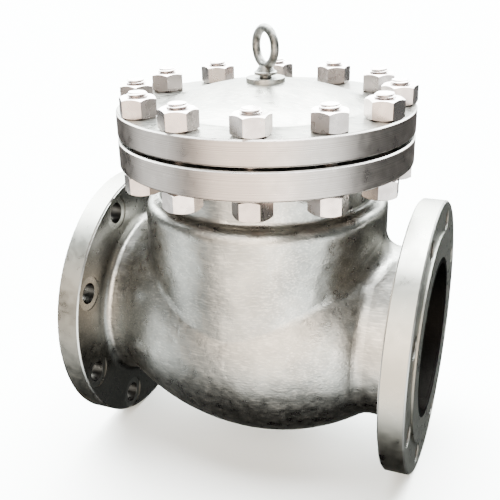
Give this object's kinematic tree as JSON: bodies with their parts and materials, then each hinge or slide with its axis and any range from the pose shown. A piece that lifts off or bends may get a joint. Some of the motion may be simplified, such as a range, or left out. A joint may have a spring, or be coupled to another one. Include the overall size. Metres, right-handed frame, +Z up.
{
  "type": "swing check valve",
  "caption": "Flanged swing check valve with a bolted domed cover, lifting eye and a hinged clapper that closes on a tilted seat.",
  "frame": {"origin": "centre of the inlet flange's raised face, where the valve is bolted to its pipe", "axes": "+X along the pipe in the direction of flow, +Z up through the cover, +Y across the pipe"},
  "size_m": [0.36, 0.294, 0.4448],
  "materials": {
    "painted_casting": "silver paint over a casting",
    "plated_fasteners": "satin",
    "forged_steel": "dull forged",
    "cast_inside": "bare casting",
    "stainless_trim": "machined",
    "bronze": "machined",
    "gasket": "matt graphite sheet"
  },
  "bodies": {
    "valve": {"body": "painted_casting", "seat_ring": "stainless_trim", "cover": "painted_casting", "cover_gasket": "gasket", "cover_studs": "plated_fasteners", "cover_nuts_top": "plated_fasteners", "cover_nuts_bottom": "plated_fasteners", "eye_bolt": "forged_steel", "hinge_bracket": "cast_inside", "bracket_bolts": "forged_steel", "bracket_lock_washers": "forged_steel", "hinge_pin": "stainless_trim", "hinge_pin_washers": "stainless_trim", "hinge_pin_split_pins": "stainless_trim"},
    "arm": {"hinge_arm": "cast_inside", "hinge_bushes": "bronze"},
    "clapper": {"disc": "cast_inside", "disc_washer": "stainless_trim", "disc_nut": "stainless_trim", "disc_split_pin": "stainless_trim"}
  },
  "joints": [
    {"name": "clapper_swing", "type": "hinge", "parent": "valve", "child": "arm", "pos_m": [0.11088, 0, 0.10482], "axis": [0, -1, 0], "range_deg": [0, 65]},
    {"name": "disc_spin", "type": "hinge", "parent": "arm", "child": "clapper", "pos_m": [0.106, 0, 0], "axis": [0.9962, 0, 0.0872], "continuous": true}
  ]
}
